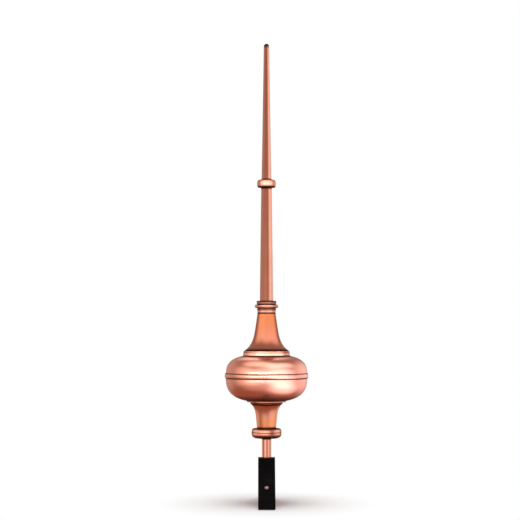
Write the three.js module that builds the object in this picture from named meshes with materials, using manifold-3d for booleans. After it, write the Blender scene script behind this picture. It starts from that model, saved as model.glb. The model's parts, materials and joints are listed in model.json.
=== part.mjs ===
// A copper roof finial: a needle spire over a bell and a flattened ball, on a rod that stands on a steel
// saddle bent over a roof ridge. Millimetres, +Z up, with the ridge along X. The origin is the middle of
// the underside of the saddle's crown, where it rests on the ridge.

import * as THREE from "three";
import { mergeVertices } from "three/addons/utils/BufferGeometryUtils.js";
import Module from "manifold-3d";

// Saddle: a flat strap bent over the ridge, with a screw down each leg
const STRAP_WIDTH = 40;
const STRAP_THICKNESS = 4;
const CROWN_MARGIN = 4.9;
const BEND_RADIUS = 6;
const ROOF_PITCH = 45;
const LEG_LENGTH = 144.5;
const LEG_CORNER_RADIUS = 3;
const SCREW_FROM_LEG_END = 60;

// Screws: a pan head with a cross recess, and a shank that ends just inside the strap's underside
const SCREW_SHANK_RADIUS = 3;
const SCREW_CLEARANCE = 0.3;
const SCREW_HEAD_RADIUS = 5.5;
const SCREW_HEAD_EDGE = 1.2;
const SCREW_HEAD_DOME = 2.8;
const RECESS_LENGTH = 5.6;
const RECESS_WIDTH = 1.2;
const RECESS_DEPTH = 1.8;

// Mounting rod: 7/8 inch tube
const ROD_RADIUS = 11.1;
const ROD_HEIGHT = 45.9;

// Foot bead: it stands out from the cup's neck and rounds back in to the same width below
const FOOT_BEAD_PROUD = 13;
const FOOT_BEAD_HEIGHT = 23.1;
const FOOT_BEAD_SHOULDER = 4;
const FOOT_BEAD_SHOULDER_HEIGHT = 9;
const FOOT_BEAD_UNDER_HEIGHT = 10;

// Cup under the ball: a flared wall, a band and a thin lip that overhangs the band
const CUP_NECK_RADIUS = 22.5;
const CUP_TAPER = 5.3;
const CUP_FLARE = 9.3;
const CUP_FLARE_SHARPNESS = 6.5;
const CUP_WALL_HEIGHT = 58;
const CUP_BAND_PROUD = 1;
const CUP_BAND_HEIGHT = 4.8;
const CUP_LIP_OVERHANG = 8.5;
const CUP_LIP_THICKNESS = 2.5;

// Ball: two bowls of rounded-square section, with a lap band round the upper bowl's rim
const BALL_RADIUS = 97;
const BALL_LOWER_RISE = 60.4;
const BALL_UPPER_RISE = 52.2;
const BALL_LOWER_SQUARENESS = 2.82;
const BALL_UPPER_SQUARENESS = 3.15;
const BALL_SEAT_INSET = 1.5;
const LAP_BELOW_EQUATOR = 3.5;
const LAP_BAND_HEIGHT = 11;
const LAP_BAND_EDGE_PROUD = 1.4;
const LAP_BAND_CROWN_PROUD = 2.4;

// Ring under the bell: a ledge round the bell's mouth, on a fillet set back above a tapering band
const RING_LEDGE = 0.8;
const RING_TAPER = 0.8;
const RING_HEIGHT = 11.2;
const RING_FILLET_HEIGHT = 3.6;
const RING_FILLET_SETBACK = 0.6;

// Bell
const BELL_NECK_RADIUS = 21.5;
const BELL_TAPER = 13;
const BELL_FLARE = 19.3;
const BELL_FLARE_SHARPNESS = 6;
const BELL_HEIGHT = 89.8;

// Neck moulding, from its foot up: a fillet, a wider fillet, a round bead between two quirks, a flange
const NECK_FILLET_HEIGHT = 8;
const NECK_FILLET_PROUD = 0.4;
const NECK_BAND_HEIGHT = 3.3;
const NECK_BAND_PROUD = 1.2;
const NECK_QUIRK_HEIGHT = 1.3;
const NECK_BEAD_HEIGHT = 8.2;
const NECK_BEAD_PROUD = 6.9;
const NECK_BEAD_REACH = 3.5;
const NECK_FLANGE_HEIGHT = 7.4;
const NECK_FLANGE_PROUD = 1.9;
const NECK_FLANGE_LEDGE = 7.4;
const NECK_EDGE = 0.8;

// Spire: a shaft, a collar and a point
const SHAFT_FOOT_RADIUS = 16;
const SHAFT_HEAD_RADIUS = 12.7;
const SHAFT_HEIGHT = 272;
const COLLAR_PROUD = 9.7;
const COLLAR_HEIGHT = 19.1;
const COLLAR_EDGE_SETBACK = 1.4;
const COLLAR_DOME_HEIGHT = 2.3;
const COLLAR_DOME_TOP_MARGIN = 1;
const POINT_FOOT_RADIUS = 11.7;
const POINT_TIP_RADIUS = 6.4;
const POINT_HEIGHT = 328.1;

// Facets round a turned piece, and steps along one curve of its outline
const SIDES = 40;
const CURVE_STEPS = 8;
const SMALL_CURVE_STEPS = 5;

// Heights are rounded to this step, which 32-bit numbers hold exactly, so that faces that meet share a plane
const HEIGHT_STEP = 1 / 64;

const wasm = await Module();
wasm.setup();

const onStep = (height) => Math.round(height / HEIGHT_STEP) * HEIGHT_STEP;

// Evenly spaced numbers from one end to the other, both included
function spaced(from, to, steps) {
  return Array.from({ length: steps + 1 }, (_, i) => from + ((to - from) * i) / steps);
}

// Part of an ellipse in an outline, as [radius, height] pairs; angle 0 points outwards and 90 degrees up
function arc(centre, reach, fromDegrees, toDegrees, steps = SMALL_CURVE_STEPS) {
  return spaced(fromDegrees, toDegrees, steps).map((degrees) => {
    const angle = THREE.MathUtils.degToRad(degrees);
    return [centre[0] + reach[0] * Math.cos(angle), centre[1] + reach[1] * Math.sin(angle)];
  });
}

// A trumpet wall from its narrow end to its wide end, as [radius, distance] pairs. With u the share of
// the height covered, the radius is neck + taper u + flare u^sharpness, and points crowd to the wide end.
function flare(neck, taper, flareWidth, sharpness, height) {
  return spaced(0, Math.PI / 2, CURVE_STEPS).map((angle) => {
    const u = Math.sin(angle);
    return [neck + taper * u + flareWidth * u ** sharpness, height * u];
  });
}

// Half of the ball's section above its equator, from one height out to the flat seat at seatRadius, as
// [radius, height] pairs on the curve (r / BALL_RADIUS)^squareness + (h / rise)^squareness = 1
function bowl(rise, squareness, fromHeight, seatRadius) {
  const power = 2 / squareness;
  const first = Math.asin((fromHeight / rise) ** (1 / power));
  const last = Math.acos((seatRadius / BALL_RADIUS) ** (1 / power));
  return spaced(first, last, CURVE_STEPS).map((angle) => [
    BALL_RADIUS * Math.cos(angle) ** power,
    rise * Math.sin(angle) ** power,
  ]);
}

// Radii that one piece shares with the next
const FOOT_BEAD_RADIUS = CUP_NECK_RADIUS + FOOT_BEAD_PROUD;
const CUP_BAND_RADIUS = CUP_NECK_RADIUS + CUP_TAPER + CUP_FLARE + CUP_BAND_PROUD;
const CUP_LIP_RADIUS = CUP_BAND_RADIUS + CUP_LIP_OVERHANG;
const BELL_MOUTH_RADIUS = BELL_NECK_RADIUS + BELL_TAPER + BELL_FLARE;
const RING_HEAD_RADIUS = BELL_MOUTH_RADIUS + RING_LEDGE;
const RING_FOOT_RADIUS = RING_HEAD_RADIUS + RING_FILLET_SETBACK + RING_TAPER;

function mountingRod() {
  return [
    [ROD_RADIUS, 0],
    [ROD_RADIUS, ROD_HEIGHT],
  ];
}

// A flat top with a long round shoulder, a short straight side and a long round underside
function footBead() {
  const under = [FOOT_BEAD_PROUD, FOOT_BEAD_UNDER_HEIGHT];
  const shoulder = [FOOT_BEAD_SHOULDER, FOOT_BEAD_SHOULDER_HEIGHT];
  return [
    ...arc([FOOT_BEAD_RADIUS - under[0], under[1]], under, -90, 0),
    ...arc([FOOT_BEAD_RADIUS - shoulder[0], FOOT_BEAD_HEIGHT - shoulder[1]], shoulder, 0, 90),
  ];
}

function cup() {
  const wall = flare(CUP_NECK_RADIUS, CUP_TAPER, CUP_FLARE, CUP_FLARE_SHARPNESS, CUP_WALL_HEIGHT);
  const lipFoot = CUP_WALL_HEIGHT + CUP_BAND_HEIGHT;
  return [
    ...wall,
    [CUP_BAND_RADIUS, CUP_WALL_HEIGHT],
    [CUP_BAND_RADIUS, lipFoot],
    [CUP_LIP_RADIUS, lipFoot],
    [CUP_LIP_RADIUS, lipFoot + CUP_LIP_THICKNESS],
  ];
}

function ballLowerHalf() {
  const seatRadius = CUP_LIP_RADIUS - BALL_SEAT_INSET;
  const section = bowl(BALL_LOWER_RISE, BALL_LOWER_SQUARENESS, LAP_BELOW_EQUATOR, seatRadius);
  const seat = section.at(-1)[1];
  return section.reverse().map(([radius, depth]) => [radius, seat - depth]);
}

// The lap band swells a little between its two edges, above the rim that covers the lower bowl
function ballUpperHalf() {
  const swell = LAP_BAND_CROWN_PROUD - LAP_BAND_EDGE_PROUD;
  const band = spaced(-1, 1, SMALL_CURVE_STEPS + 1).map((share) => [
    BALL_RADIUS + LAP_BAND_EDGE_PROUD + swell * (1 - share * share),
    (LAP_BAND_HEIGHT * (1 + share)) / 2,
  ]);
  const bandTop = LAP_BAND_HEIGHT - LAP_BELOW_EQUATOR;
  const seatRadius = RING_FOOT_RADIUS - BALL_SEAT_INSET;
  const section = bowl(BALL_UPPER_RISE, BALL_UPPER_SQUARENESS, bandTop, seatRadius);
  return [...band, ...section.map(([radius, height]) => [radius, height + LAP_BELOW_EQUATOR])];
}

function bellRing() {
  const filletFoot = RING_HEIGHT - RING_FILLET_HEIGHT;
  return [
    [RING_FOOT_RADIUS, 0],
    [RING_FOOT_RADIUS - RING_TAPER, filletFoot],
    [RING_HEAD_RADIUS, filletFoot],
    [RING_HEAD_RADIUS, RING_HEIGHT],
  ];
}

function bell() {
  const wall = flare(BELL_NECK_RADIUS, BELL_TAPER, BELL_FLARE, BELL_FLARE_SHARPNESS, BELL_HEIGHT);
  return wall.reverse().map(([radius, fromNeck]) => [radius, BELL_HEIGHT - fromNeck]);
}

// The fillets below the bead cap the bell's neck, and the flange above it carries the shaft. The bead
// stands out from the wider of the two quirks beside it.
function neckMoulding() {
  const bead = [NECK_BEAD_REACH, NECK_BEAD_HEIGHT / 2];
  const fillet = BELL_NECK_RADIUS + NECK_FILLET_PROUD;
  const band = BELL_NECK_RADIUS + NECK_BAND_PROUD;
  const flange = SHAFT_FOOT_RADIUS + NECK_FLANGE_LEDGE;
  const upperQuirk = flange - NECK_FLANGE_PROUD;
  const beadCentre = Math.max(BELL_NECK_RADIUS, upperQuirk) + NECK_BEAD_PROUD - NECK_BEAD_REACH;
  const bandTop = NECK_FILLET_HEIGHT + NECK_BAND_HEIGHT;
  const beadFoot = bandTop + NECK_QUIRK_HEIGHT;
  const flangeFoot = beadFoot + NECK_BEAD_HEIGHT + NECK_QUIRK_HEIGHT;
  const top = flangeFoot + NECK_FLANGE_HEIGHT;
  return [
    [fillet - NECK_EDGE, 0],
    [fillet, NECK_EDGE],
    [fillet, NECK_FILLET_HEIGHT],
    [band, NECK_FILLET_HEIGHT],
    [band, bandTop],
    [BELL_NECK_RADIUS, beadFoot],
    ...arc([beadCentre, beadFoot + bead[1]], bead, -90, 90),
    [upperQuirk, flangeFoot - NECK_QUIRK_HEIGHT],
    [flange, flangeFoot],
    [flange, top - NECK_EDGE],
    [flange - NECK_EDGE, top],
  ];
}

function spireShaft() {
  return [
    [SHAFT_FOOT_RADIUS, 0],
    [SHAFT_HEAD_RADIUS, SHAFT_HEIGHT],
  ];
}

// A barrel side under a low dome that falls away from the foot of the point
function spireCollar() {
  const domeFoot = COLLAR_HEIGHT - COLLAR_DOME_HEIGHT;
  const radius = Math.max(SHAFT_HEAD_RADIUS, POINT_FOOT_RADIUS) + COLLAR_PROUD;
  const side = spaced(-1, 1, SMALL_CURVE_STEPS).map((share) => [
    radius - COLLAR_EDGE_SETBACK * share * share,
    (domeFoot * (1 + share)) / 2,
  ]);
  return [...side, [POINT_FOOT_RADIUS + COLLAR_DOME_TOP_MARGIN, COLLAR_HEIGHT]];
}

function spirePoint() {
  const tip = [POINT_TIP_RADIUS, POINT_TIP_RADIUS];
  return [[POINT_FOOT_RADIUS, 0], ...arc([0, POINT_HEIGHT - POINT_TIP_RADIUS], tip, 0, 90)];
}

// Turns an outline of [radius, height] pairs, from foot to head, about the Z axis
function turned(outline) {
  const foot = [0, outline[0][1]];
  const head = [0, outline.at(-1)[1]];
  const points = [foot, ...outline, head].map(
    ([radius, height]) => new THREE.Vector2(Math.max(radius, 0), onStep(height)),
  );
  return new THREE.LatheGeometry(points, SIDES).rotateX(Math.PI / 2);
}

function copper() {
  return new THREE.MeshStandardMaterial({ color: 0xd88f70, roughness: 0.28, metalness: 1 });
}

function blackPaint() {
  return new THREE.MeshStandardMaterial({ color: 0x161616, roughness: 0.55, metalness: 0.1 });
}

function zincPlate() {
  return new THREE.MeshStandardMaterial({ color: 0xb9bbbd, roughness: 0.35, metalness: 1 });
}

function mesh(name, geometry, material) {
  const made = new THREE.Mesh(geometry, material);
  made.name = name;
  return made;
}

// Copper pieces from the saddle's crown up, each seated on the one before it
const STACK = [
  ["mounting_rod", mountingRod()],
  ["foot_bead", footBead()],
  ["cup", cup()],
  ["ball_lower_half", ballLowerHalf()],
  ["ball_upper_half", ballUpperHalf()],
  ["bell_ring", bellRing()],
  ["bell", bell()],
  ["neck_moulding", neckMoulding()],
  ["spire_shaft", spireShaft()],
  ["spire_collar", spireCollar()],
  ["spire_point", spirePoint()],
];

function finialStack() {
  const stack = new THREE.Group();
  let seat = onStep(STRAP_THICKNESS);
  for (const [name, outline] of STACK) {
    const piece = mesh(name, turned(outline), copper());
    piece.position.z = seat;
    stack.add(piece);
    seat += onStep(outline.at(-1)[1]);
  }
  return stack;
}

// A closed mesh as a solid, and a solid as a geometry, for cuts
function solid(geometry) {
  const bare = geometry.clone();
  bare.deleteAttribute("normal");
  bare.deleteAttribute("uv");
  const merged = mergeVertices(bare, 1e-4);
  const vertProperties = new Float32Array(merged.attributes.position.array);
  const triVerts = new Uint32Array(merged.index.array);
  return new wasm.Manifold(new wasm.Mesh({ numProp: 3, vertProperties, triVerts }));
}

function geometryOf(made) {
  const { numProp, vertProperties, triVerts } = made.getMesh();
  const geometry = new THREE.BufferGeometry();
  const interleaved = new THREE.InterleavedBuffer(vertProperties, numProp);
  const position = new Float32Array(interleaved.count * 3);
  for (let i = 0; i < interleaved.count; i += 1) {
    position.set(vertProperties.subarray(i * numProp, i * numProp + 3), i * 3);
  }
  geometry.setAttribute("position", new THREE.BufferAttribute(position, 3));
  geometry.setIndex(new THREE.BufferAttribute(new Uint32Array(triVerts), 1));
  return geometry;
}

// Distances that the strap's bend and its screws share. The crown is flat a little past the rod's edge.
const CROWN_HALF = ROD_RADIUS + CROWN_MARGIN;
const BEND_OUTER_RADIUS = BEND_RADIUS + STRAP_THICKNESS;
const SCREW_DOWN_LEG = LEG_LENGTH - SCREW_FROM_LEG_END;

// The frame of one leg: origin on the strap's outer face where the bend ends, X along the ridge, Y down
// the leg and Z out of the face. side is -1 for the front leg and 1 for the back one.
function legFrame(side) {
  const pitch = THREE.MathUtils.degToRad(ROOF_PITCH);
  const acrossRidge = CROWN_HALF + BEND_OUTER_RADIUS * Math.sin(pitch);
  const height = BEND_OUTER_RADIUS * Math.cos(pitch) - BEND_RADIUS;
  const down = new THREE.Vector3(0, side * Math.cos(pitch), -Math.sin(pitch));
  const out = new THREE.Vector3(0, side * Math.sin(pitch), Math.cos(pitch));
  const along = new THREE.Vector3().crossVectors(down, out);
  return new THREE.Matrix4()
    .makeBasis(along, down, out)
    .setPosition(0, side * acrossRidge, height);
}

// The strap's section across the ridge, on the X and Y of a flat shape, extruded to its width
function bentStrap() {
  const pitch = THREE.MathUtils.degToRad(ROOF_PITCH);
  const legEnd = (radius) => [
    CROWN_HALF + radius * Math.sin(pitch) + LEG_LENGTH * Math.cos(pitch),
    radius * Math.cos(pitch) - BEND_RADIUS - LEG_LENGTH * Math.sin(pitch),
  ];
  const [outerEnd, innerEnd] = [legEnd(BEND_OUTER_RADIUS), legEnd(BEND_RADIUS)];
  const [up, bent] = [Math.PI / 2, Math.PI / 2 - pitch];
  const section = new THREE.Shape();
  section.moveTo(-outerEnd[0], outerEnd[1]);
  section.lineTo(-innerEnd[0], innerEnd[1]);
  section.absarc(-CROWN_HALF, -BEND_RADIUS, BEND_RADIUS, Math.PI - bent, up, true);
  section.absarc(CROWN_HALF, -BEND_RADIUS, BEND_RADIUS, up, bent, true);
  section.lineTo(innerEnd[0], innerEnd[1]);
  section.lineTo(outerEnd[0], outerEnd[1]);
  section.absarc(CROWN_HALF, -BEND_RADIUS, BEND_OUTER_RADIUS, bent, up, false);
  section.absarc(-CROWN_HALF, -BEND_RADIUS, BEND_OUTER_RADIUS, up, Math.PI - bent, false);
  const made = new THREE.ExtrudeGeometry(section, {
    depth: STRAP_WIDTH,
    bevelEnabled: false,
    curveSegments: SMALL_CURVE_STEPS,
  });
  const upright = new THREE.Matrix4().makeBasis(
    new THREE.Vector3(0, 1, 0),
    new THREE.Vector3(0, 0, 1),
    new THREE.Vector3(1, 0, 0),
  );
  return made.translate(0, 0, -STRAP_WIDTH / 2).applyMatrix4(upright);
}

// Takes the square corner off one end of a leg; hand is -1 or 1 along the ridge
function cornerCutter(hand) {
  const margin = STRAP_THICKNESS;
  const [x, y] = [STRAP_WIDTH / 2, LEG_LENGTH];
  const [arcX, arcY] = [x - LEG_CORNER_RADIUS, y - LEG_CORNER_RADIUS];
  const corner = new THREE.Shape();
  corner.moveTo(x + margin, y + margin);
  corner.lineTo(arcX, y + margin);
  corner.lineTo(arcX, y);
  corner.absarc(arcX, arcY, LEG_CORNER_RADIUS, Math.PI / 2, 0, true);
  corner.lineTo(x + margin, arcY);
  const depth = STRAP_THICKNESS + 2 * margin;
  const cutter = new THREE.ExtrudeGeometry(corner, {
    depth,
    bevelEnabled: false,
    curveSegments: SMALL_CURVE_STEPS,
  });
  cutter.translate(0, 0, -STRAP_THICKNESS - margin);
  return hand > 0 ? cutter : cutter.rotateY(Math.PI).translate(0, 0, -STRAP_THICKNESS);
}

function holeCutter() {
  const radius = SCREW_SHANK_RADIUS + SCREW_CLEARANCE;
  const cutter = new THREE.CylinderGeometry(radius, radius, 3 * STRAP_THICKNESS, SIDES / 2);
  return cutter.rotateX(Math.PI / 2).translate(0, SCREW_DOWN_LEG, -STRAP_THICKNESS / 2);
}

function roofSaddle() {
  let strap = solid(bentStrap());
  for (const side of [-1, 1]) {
    for (const cutter of [holeCutter(), cornerCutter(-1), cornerCutter(1)]) {
      strap = strap.subtract(solid(cutter.applyMatrix4(legFrame(side))));
    }
  }
  return mesh("roof_saddle", geometryOf(strap), blackPaint());
}

// The head sits just clear of the strap's face and the shank ends just inside its underside
function saddleScrew() {
  const shankEnd = SCREW_CLEARANCE - STRAP_THICKNESS;
  const edgeTop = SCREW_CLEARANCE + SCREW_HEAD_EDGE;
  const top = edgeTop + SCREW_HEAD_DOME;
  let screw = solid(
    turned([
      [SCREW_SHANK_RADIUS, shankEnd],
      [SCREW_SHANK_RADIUS, SCREW_CLEARANCE],
      [SCREW_HEAD_RADIUS, SCREW_CLEARANCE],
      ...arc([0, edgeTop], [SCREW_HEAD_RADIUS, SCREW_HEAD_DOME], 0, 90),
    ]),
  );
  for (const [x, y] of [
    [RECESS_LENGTH, RECESS_WIDTH],
    [RECESS_WIDTH, RECESS_LENGTH],
  ]) {
    const slot = new THREE.BoxGeometry(x, y, 2 * RECESS_DEPTH).translate(0, 0, top);
    screw = screw.subtract(solid(slot));
  }
  return geometryOf(screw).translate(0, SCREW_DOWN_LEG, 0);
}

function saddleScrews() {
  const screws = new THREE.Group();
  for (const [side, name] of [
    [-1, "saddle_screw_front"],
    [1, "saddle_screw_back"],
  ]) {
    const leg = new THREE.Group();
    leg.applyMatrix4(legFrame(side));
    leg.add(mesh(name, saddleScrew(), zincPlate()));
    screws.add(leg);
  }
  return screws;
}

const finial = new THREE.Group();
finial.add(finialStack(), roofSaddle(), saddleScrews());

export default finial;
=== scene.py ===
"""A copper roof finial on a black steel saddle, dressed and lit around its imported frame.

Every size is in metres, in the frame's own axes: Z up along the finial, X along the ridge, the front at -Y.
A turned piece is an outline of (radius, height) pairs swept round the Z axis, and its height is measured
from its own foot until it is put in its place.
"""

import json
import logging
import math
from dataclasses import dataclass
from enum import Enum
from typing import Any, Union

import bpy
import numpy as np
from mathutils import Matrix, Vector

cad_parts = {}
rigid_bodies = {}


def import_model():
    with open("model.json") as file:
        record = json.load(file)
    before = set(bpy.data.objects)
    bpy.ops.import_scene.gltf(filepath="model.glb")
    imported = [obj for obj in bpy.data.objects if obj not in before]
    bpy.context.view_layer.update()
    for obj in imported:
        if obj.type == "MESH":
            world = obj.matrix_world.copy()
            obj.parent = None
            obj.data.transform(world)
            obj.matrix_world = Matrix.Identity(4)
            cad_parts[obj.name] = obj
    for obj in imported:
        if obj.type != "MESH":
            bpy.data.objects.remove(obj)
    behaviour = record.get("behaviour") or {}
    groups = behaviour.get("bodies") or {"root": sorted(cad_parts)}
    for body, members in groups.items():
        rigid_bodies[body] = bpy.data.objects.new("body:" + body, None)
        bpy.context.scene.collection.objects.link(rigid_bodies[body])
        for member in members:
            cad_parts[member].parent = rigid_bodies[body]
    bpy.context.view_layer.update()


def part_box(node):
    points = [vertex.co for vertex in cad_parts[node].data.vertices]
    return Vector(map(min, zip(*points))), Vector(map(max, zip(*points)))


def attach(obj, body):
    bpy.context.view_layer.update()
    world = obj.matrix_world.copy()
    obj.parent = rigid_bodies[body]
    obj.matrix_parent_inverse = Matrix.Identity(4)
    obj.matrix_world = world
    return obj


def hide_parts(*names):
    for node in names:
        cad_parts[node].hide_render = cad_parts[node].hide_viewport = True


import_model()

log = logging.getLogger("finial")

Outline = np.ndarray
Skin = tuple[np.ndarray, list[list[int]]]
Colour = tuple[float, float, float]

BODY = "root"

# Points round a turned piece, along a curve and over a rounded edge
TURNED_SIDES = 192
CURVE_POINTS = 48
FILLET_POINTS = 7

# Rounding of a turned piece's edges, and the gap below which two points count as one
EDGE = 0.0004
DOUBLED = 1e-8

# Share of a seat's radius at which its flat gets one more ring, under the pole
SEAT_SHARE = 0.4

# The turn from which a point is rounded, the sharpest turn that widens a rounding, and the most that a
# rounding takes of a run
CREASE_ANGLE = math.radians(14.0)
SHARPEST_TURN = 2.6
ROUNDED_SHARE = 0.42

# How far a run is held flat beyond a rounding, as a factor of its reach and as the most of the run
HELD = 1.18
HELD_SHARE = 0.48

# Turns above which an edge is shaded sharp
SCREW_CREASE = math.radians(35.0)
STRAP_CREASE = math.radians(40.0)


# Outlines


def spaced(first: float, last: float, count: int = CURVE_POINTS) -> np.ndarray:
    """Evenly spaced numbers from first to last, both included."""
    return np.linspace(first, last, count)


def joined(*runs: Any) -> Outline:
    """One outline from runs of points, each a list of pairs or an array."""
    return np.vstack([np.asarray(run, float).reshape(-1, 2) for run in runs])


def arc(centre: tuple[float, float], reach: tuple[float, float], first: float, last: float) -> Outline:
    """Part of an ellipse, centre + (reach_r cos t, reach_h sin t), with t in degrees from first to last."""
    angle = np.radians(spaced(first, last, CURVE_POINTS // 2))
    return np.column_stack([centre[0] + reach[0] * np.cos(angle), centre[1] + reach[1] * np.sin(angle)])


def flare(neck: float, taper: float, width: float, sharpness: float, height: float) -> Outline:
    """A trumpet wall: at u times its height the radius is neck + taper u + width u^sharpness, u = sin t."""
    u = np.sin(spaced(0.0, math.pi / 2))
    return np.column_stack([neck + taper * u + width * u**sharpness, height * u])


def bowl(radius: float, rise: float, squareness: float, from_height: float, seat_radius: float) -> Outline:
    """Half of a rounded-square section above its equator, out to a flat seat.

    Points lie on (r / radius)^n + (h / rise)^n = 1 with n the squareness, taken at r = radius cos(t)^(2/n)
    and h = rise sin(t)^(2/n).

    Args:
        radius: Radius at the equator.
        rise: Height of the closed curve above the equator.
        squareness: Power n; 2 is an ellipse and more is squarer.
        from_height: Height above the equator of the first point.
        seat_radius: Radius of the last point.

    Returns:
        Pairs of radius and height above the equator.
    """
    power = 2.0 / squareness
    first = math.asin((from_height / rise) ** (1.0 / power))
    last = math.acos((seat_radius / radius) ** (1.0 / power))
    t = spaced(first, last, 2 * CURVE_POINTS)
    return np.column_stack([radius * np.cos(t) ** power, rise * np.sin(t) ** power])


def groove(radius: float, height: float, width: float, depth: float) -> Outline:
    """A cut round a straight wall, with slanted sides and a narrow floor.

    Args:
        radius: Radius of the wall.
        height: Height of the middle of the cut.
        width: Height of the cut at the wall.
        depth: How far its floor lies inside the wall.

    Returns:
        The four corners, from the lower lip to the upper one.
    """
    heights = height + width * np.array([-0.5, -0.2, 0.2, 0.5])
    radii = radius - depth * np.array([0.0, 1.0, 1.0, 0.0])
    return np.column_stack([radii, heights])


def single(outline: Outline) -> Outline:
    """The outline without points that lie on the one before them."""
    steps = np.linalg.norm(np.diff(outline, axis=0), axis=1)
    return outline[np.concatenate([[True], steps > DOUBLED])]


def softened(outline: Outline, radius: float = EDGE) -> Outline:
    """Rounds each crease of an outline and holds the straight runs beside it.

    Every point p becomes a short curve (1-s)^2 a + 2 s (1-s) p + s^2 b, where a and b lie on the runs
    before and after it, radius tan(turn / 2) away, or nearer on a short run. A point whose turn is below
    CREASE_ANGLE keeps a, p and b together. One more point beyond a and b keeps the shading of a long run
    flat.

    Args:
        outline: Pairs of radius and height.
        radius: Radius of the rounding.

    Returns:
        The new outline, with no doubled points.
    """
    outline = single(outline)
    steps = np.diff(outline, axis=0)
    lengths = np.linalg.norm(steps, axis=1)
    along = steps / lengths[:, None]
    turn = np.arccos(np.clip(np.sum(along[:-1] * along[1:], axis=1), -1.0, 1.0))
    shorter = np.minimum(lengths[:-1], lengths[1:])
    reach = np.where(turn > CREASE_ANGLE, radius * np.tan(np.minimum(turn, SHARPEST_TURN) / 2.0), 0.0)
    reach = np.minimum(reach, ROUNDED_SHARE * shorter)[:, None]
    hold = np.minimum(HELD * reach, HELD_SHARE * shorter[:, None])
    p = outline[1:-1]
    a, b = p - reach * along[:-1], p + reach * along[1:]
    s = spaced(0.0, 1.0, FILLET_POINTS)[:, None, None]
    curves = (1 - s) ** 2 * a + 2 * s * (1 - s) * p + s**2 * b
    held = np.concatenate([(p - hold * along[:-1])[None], curves, (p + hold * along[1:])[None]])
    return single(np.vstack([outline[:1], held.transpose(1, 0, 2).reshape(-1, 2), outline[-1:]]))


# Meshes


def new_mesh(
    name: str, points: np.ndarray, faces: list[list[int]], crease: float = math.pi
) -> bpy.types.Object:
    """Puts points and faces into a smooth-shaded object at the origin.

    Args:
        name: Name of the piece.
        points: One row of x, y, z for each point.
        faces: Point numbers of each face, turning left seen from outside.
        crease: Edges that turn by more than this angle stay sharp.

    Returns:
        The linked object.
    """
    mesh = bpy.data.meshes.new(name)
    mesh.from_pydata(points.tolist(), [], faces)
    mesh.shade_smooth()
    if crease < math.pi:
        mesh.set_sharp_from_angle(angle=crease)
    mesh.validate()
    made = bpy.data.objects.new(name, mesh)
    bpy.context.scene.collection.objects.link(made)
    return made


def grid_faces(rows: int, columns: int) -> np.ndarray:
    """Faces of a grid of points that closes round on itself along its columns."""
    row, column = np.meshgrid(np.arange(rows - 1), np.arange(columns), indexing="ij")
    here = row * columns + column
    beside = row * columns + (column + 1) % columns
    return np.stack([here, beside, beside + columns, here + columns], axis=-1).reshape(-1, 4)


def fan_faces(pole: int, ring_start: int, columns: int, upward: bool) -> np.ndarray:
    """Triangles that close a ring of points onto a pole, facing up or down."""
    here = ring_start + np.arange(columns)
    beside = ring_start + (np.arange(columns) + 1) % columns
    order = [here, beside] if upward else [beside, here]
    return np.column_stack([np.full(columns, pole), *order])


def swept(radius: np.ndarray, height: np.ndarray, sides: int) -> np.ndarray:
    """Points (r cos a, r sin a, h) of rings round the Z axis, ring by ring, from columns of r and h."""
    angle = 2 * math.pi * np.arange(sides) / sides
    level = np.broadcast_to(height, (len(radius), sides))
    return np.stack([radius * np.cos(angle), radius * np.sin(angle), level], axis=-1).reshape(-1, 3)


def turned(outline: Outline, foot: float, sides: int = TURNED_SIDES) -> Skin:
    """Sweeps an outline round the Z axis and closes both ends.

    Each pair (r, h) of the outline becomes a ring at foot + h, and one pole on the axis closes each end.

    Args:
        outline: Pairs of radius and height, from the foot up.
        foot: Height of the outline's zero in the frame.
        sides: Points round the axis.

    Returns:
        The points and the faces.
    """
    height = foot + outline[:, 1:]
    poles = [[0.0, 0.0, height[0, 0]], [0.0, 0.0, height[-1, 0]]]
    points = np.vstack([swept(outline[:, :1], height, sides), poles])
    last_ring = (len(outline) - 1) * sides
    faces = grid_faces(len(outline), sides).tolist()
    faces += fan_faces(len(points) - 2, 0, sides, upward=False).tolist()
    faces += fan_faces(len(points) - 1, last_ring, sides, upward=True).tolist()
    return points, faces


@dataclass(frozen=True)
class Span:
    """Where a node of the frame stands.

    Attributes:
        foot: Height of its lowest point.
        height: Its height.
        radius: Half of its width.
    """

    foot: float
    height: float
    radius: float

    @classmethod
    def of(cls, node: str) -> "Span":
        """Measures a node of the frame."""
        low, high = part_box(node)
        return cls(low.z, high.z - low.z, (high.x - low.x) / 2)


# Shader graphs

Feed = Union[float, tuple, bpy.types.NodeSocket, "Number"]


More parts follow.
